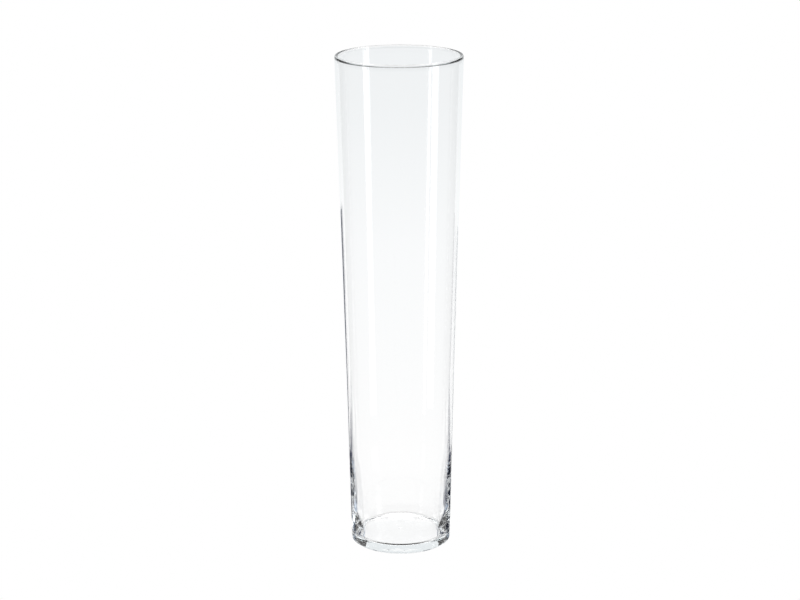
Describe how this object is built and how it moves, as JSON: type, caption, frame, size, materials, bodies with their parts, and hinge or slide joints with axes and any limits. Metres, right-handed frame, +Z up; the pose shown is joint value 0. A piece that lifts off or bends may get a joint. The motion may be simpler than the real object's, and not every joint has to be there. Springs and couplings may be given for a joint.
{
  "type": "vase",
  "caption": "Tall clear glass vase with a gently tapered wall, a rounded rim and a thick heavy base, for long-stemmed flowers and branches.",
  "frame": {"origin": "centre of the plane that the vase stands on", "axes": "+Z up along the vase's axis, towards the mouth; the vase is round, so X and Y are alike"},
  "size_m": [0.1758, 0.1758, 0.7],
  "materials": {
    "clear_glass": "clear, fire-polished, faintly wavy as blown glass is"
  },
  "bodies": {
    "root": {"vase_body": "clear_glass"}
  },
  "joints": []
}
